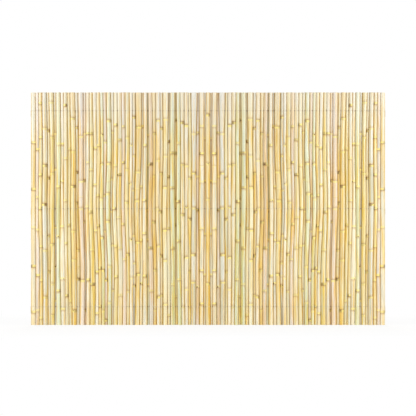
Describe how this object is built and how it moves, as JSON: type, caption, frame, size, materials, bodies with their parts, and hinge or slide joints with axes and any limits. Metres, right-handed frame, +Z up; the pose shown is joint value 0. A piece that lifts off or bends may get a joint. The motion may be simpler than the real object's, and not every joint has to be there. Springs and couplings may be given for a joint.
{
  "type": "rolled bamboo fence",
  "caption": "Roll-out screen of upright bamboo canes side by side, trimmed level and bound by rows of paired galvanised wire, for tying to posts or rails.",
  "frame": {"origin": "middle of the fence's length and thickness, at the cut feet of the canes", "axes": "+X along the fence to the right as seen from the front, +Y from front to back, +Z up"},
  "size_m": [1.8304, 0.0304, 1.2],
  "materials": {
    "cane_beige": "dry bamboo, beige tone, faint sheen",
    "cane_rose": "dry bamboo, rose tone, faint sheen",
    "cane_gold": "dry bamboo, gold tone, faint sheen",
    "cane_grey": "dry bamboo, grey tone, faint sheen",
    "cane_ivory": "dry bamboo, ivory tone, faint sheen",
    "cane_straw": "dry bamboo, straw tone, faint sheen",
    "cane_green": "dry bamboo, green tone, faint sheen",
    "binding_wire": "galvanised"
  },
  "bodies": {
    "root": {"middle_cane": "cane_gold", "cane_pair_01": "cane_beige", "cane_pair_02": "cane_ivory", "cane_pair_03": "cane_rose", "cane_pair_04": "cane_grey", "cane_pair_05": "cane_straw", "cane_pair_06": "cane_beige", "cane_pair_07": "cane_ivory", "cane_pair_08": "cane_green", "cane_pair_09": "cane_straw", "cane_pair_10": "cane_green", "cane_pair_11": "cane_ivory", "cane_pair_12": "cane_straw", "cane_pair_13": "cane_beige", "cane_pair_14": "cane_ivory", "cane_pair_15": "cane_gold", "cane_pair_16": "cane_rose", "cane_pair_17": "cane_green", "cane_pair_18": "cane_ivory", "cane_pair_19": "cane_ivory", "cane_pair_20": "cane_gold", "cane_pair_21": "cane_grey", "cane_pair_22": "cane_ivory", "cane_pair_23": "cane_straw", "cane_pair_24": "cane_rose", "cane_pair_25": "cane_ivory", "cane_pair_26": "cane_straw", "cane_pair_27": "cane_ivory", "cane_pair_28": "cane_green", "cane_pair_29": "cane_rose", "cane_pair_30": "cane_green", "cane_pair_31": "cane_gold", "cane_pair_32": "cane_ivory", "cane_pair_33": "cane_straw", "cane_pair_34": "cane_beige", "cane_pair_35": "cane_rose", "cane_pair_36": "cane_rose", "cane_pair_37": "cane_ivory", "cane_pair_38": "cane_gold", "cane_pair_39": "cane_straw", "cane_pair_40": "cane_ivory", "cane_pair_41": "cane_beige", "cane_pair_42": "cane_green", "cane_pair_43": "cane_grey", "cane_pair_44": "cane_straw", "cane_pair_45": "cane_ivory", "cane_pair_46": "cane_grey", "cane_pair_47": "cane_gold", "cane_pair_48": "cane_rose", "end_canes": "cane_beige", "bottom_front_strand": "binding_wire", "bottom_back_strand": "binding_wire", "middle_front_strand": "binding_wire", "middle_back_strand": "binding_wire", "top_front_strand": "binding_wire", "top_back_strand": "binding_wire"}
  },
  "joints": []
}
